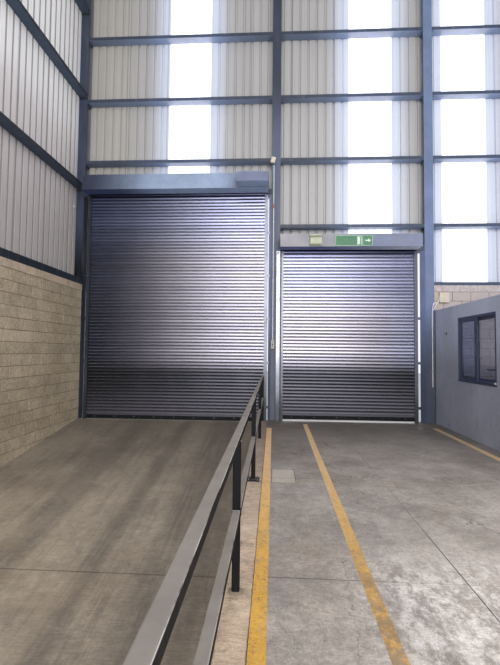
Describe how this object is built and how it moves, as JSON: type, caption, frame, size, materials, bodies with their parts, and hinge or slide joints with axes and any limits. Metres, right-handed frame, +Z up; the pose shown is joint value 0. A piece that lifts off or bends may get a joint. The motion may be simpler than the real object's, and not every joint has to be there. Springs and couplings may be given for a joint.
{
  "type": "factory hall end bay",
  "caption": "End bay of a factory hall: clad steel frame with roller shutters, block dado, sunken loading ramp beside a raised floor with a guard rail, and an office partition.",
  "frame": {"origin": "on the level of the lowest ground, below the middle of the outline", "axes": "+X along the end wall to the right, +Y out through the end wall, +Z up; the open front faces -Y"},
  "size_m": [11.8236, 9.5336, 12.1262],
  "materials": {
    "concrete": "worn trowelled concrete with stains",
    "kerb": "cast concrete, chipped",
    "blockwork": "bare concrete blocks",
    "coping": "cast concrete",
    "frame_steel": "satin dark blue-grey paint",
    "wall_sheet": "satin off-white coil coating, dusty",
    "translucent": "translucent ribbed sheet",
    "shutter": "glossy charcoal paint",
    "galvanised": "dull zinc coating",
    "hood_paint": "satin blue-grey paint",
    "pale_hood": "pale zinc sheet, stained",
    "rail_steel": "satin dark grey paint, rubbed on top",
    "partition_paint": "blue-grey painted plaster",
    "window_metal": "near black satin paint",
    "glass": "clear float glass",
    "white_plastic": "yellowed white plastic"
  },
  "bodies": {
    "root": {"ramp_bed": "concrete", "ramp_slab": "concrete", "floor_bed": "concrete", "floor_slab": "concrete", "retaining_kerb": "kerb", "side_dado": "blockwork", "end_dado": "blockwork", "coping_beams": "coping", "corner_column": "frame_steel", "middle_column": "frame_steel", "right_column": "frame_steel", "end_column": "frame_steel", "side_columns": "frame_steel", "end_girts_bay_1": "frame_steel", "end_girts_bay_2": "frame_steel", "end_girts_bay_3": "frame_steel", "side_girts": "frame_steel", "eaves_rails": "frame_steel", "cladding_bay_1": "wall_sheet", "cladding_bay_2": "wall_sheet", "cladding_bay_3": "wall_sheet", "side_cladding": "wall_sheet", "translucent_sheets": "translucent", "corner_flashing": "wall_sheet", "door_lintels": "frame_steel", "door_1_curtain": "shutter", "door_2_curtain": "shutter", "bottom_bars": "shutter", "door_guides": "galvanised", "guide_post": "galvanised", "door_jambs": "frame_steel", "guide_brackets": "galvanised", "door_1_hood": "hood_paint", "door_2_hood": "pale_hood", "hood_end_plates": "frame_steel", "curtain_rolls": "shutter", "motor_cover": "hood_paint", "guard_rails": "rail_steel", "guard_rail_posts": "rail_steel", "office_partition": "partition_paint", "window_frame": "window_metal", "window_sashes": "window_metal", "window_glass": "glass", "emergency_light": "white_plastic", "wall_boxes": "white_plastic"}
  },
  "joints": []
}
